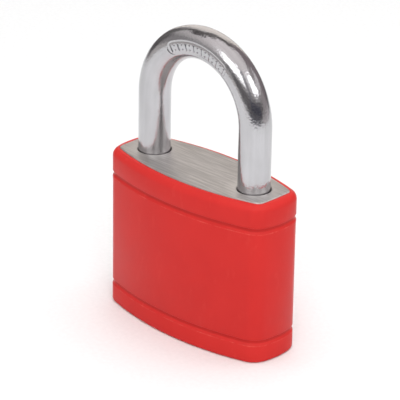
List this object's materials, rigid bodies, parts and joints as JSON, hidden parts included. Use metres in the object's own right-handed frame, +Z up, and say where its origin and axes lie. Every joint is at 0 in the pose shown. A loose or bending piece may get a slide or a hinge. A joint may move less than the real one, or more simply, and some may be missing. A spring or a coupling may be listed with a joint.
{
  "type": "combination padlock",
  "caption": "Padlock with a round steel shackle, a flush metal top in a grooved moulded jacket, and number dials in the recessed base.",
  "frame": {"origin": "middle of the rim that the lock stands on, under the centre of the body", "axes": "+X along the width towards the toe leg, +Y to the back, +Z up along the shackle"},
  "size_m": [0.053, 0.023, 0.078],
  "materials": {
    "jacket": "moulded red vinyl with a soft satin gloss",
    "body": "die-cast, the top face brushed along the width",
    "shackle": "hardened round bar, polished and plated",
    "cover": "stamped plate, satin",
    "dials": "black moulded wheels with light numbers",
    "tumblers": "turned and milled, bright",
    "steel": "plain machined and stamped steel",
    "spring": "drawn spring wire and strip, lightly oiled"
  },
  "bodies": {
    "body": {"lock_body": "body", "jacket": "jacket", "bottom_plate": "cover", "cover_post": "steel", "assembly_screw": "steel", "bearing_plate_left": "steel", "bearing_plate_right": "steel", "spindle": "steel", "fence_guide": "cover", "guide_screw_1": "steel", "guide_screw_2": "steel", "fence_spring_left": "spring", "fence_spring_right": "spring", "click_spring": "spring", "click_rivet_left": "steel", "click_rivet_right": "steel", "retaining_pin": "steel", "shackle_spring": "spring", "wave_spring": "spring"},
    "shackle": {"shackle": "shackle", "spring_cup": "steel"},
    "dial_1": {"dial_1": "dials"},
    "dial_2": {"dial_2": "dials"},
    "dial_3": {"dial_3": "dials"},
    "dial_4": {"dial_4": "dials"},
    "fence": {"fence": "steel"},
    "toe_bolt": {"toe_bolt": "steel"},
    "heel_bolt": {"heel_bolt": "steel"},
    "tumblers": {"tumbler_1": "tumblers", "tumbler_2": "tumblers", "tumbler_3": "tumblers", "tumbler_4": "tumblers", "change_slide": "steel"}
  },
  "joints": [
    {"name": "shackle_lift", "type": "slide", "parent": "body", "child": "shackle", "axis": [0, 0, 1], "range_m": [0, 0.0125], "deforming": ["shackle_spring"]},
    {"name": "dial_1_turn", "type": "hinge", "parent": "body", "child": "dial_1", "pos_m": [-0.0096, 0, 0.0069], "axis": [1, 0, 0], "continuous": true, "deforming": ["click_spring"]},
    {"name": "dial_2_turn", "type": "hinge", "parent": "body", "child": "dial_2", "pos_m": [-0.0032, 0, 0.0069], "axis": [1, 0, 0], "continuous": true},
    {"name": "dial_3_turn", "type": "hinge", "parent": "body", "child": "dial_3", "pos_m": [0.0032, 0, 0.0069], "axis": [1, 0, 0], "continuous": true},
    {"name": "dial_4_turn", "type": "hinge", "parent": "body", "child": "dial_4", "pos_m": [0.0096, 0, 0.0069], "axis": [1, 0, 0], "continuous": true},
    {"name": "fence_lift", "type": "slide", "parent": "body", "child": "fence", "axis": [0, 0, 1], "range_m": [0, 0.0014], "deforming": ["fence_spring_left", "fence_spring_right"]},
    {"name": "toe_bolt_throw", "type": "slide", "parent": "body", "child": "toe_bolt", "axis": [1, 0, 0], "range_m": [0, 0.0014]},
    {"name": "heel_bolt_throw", "type": "slide", "parent": "body", "child": "heel_bolt", "axis": [-1, 0, 0], "range_m": [0, 0.0014]},
    {"name": "code_change_shift", "type": "slide", "parent": "body", "child": "tumblers", "axis": [1, 0, 0], "range_m": [0, 0.0013], "deforming": ["wave_spring"]}
  ],
  "couplings": [
    {"joint": "toe_bolt_throw", "follows": "fence_lift", "ratio": 1},
    {"joint": "heel_bolt_throw", "follows": "fence_lift", "ratio": 1}
  ]
}
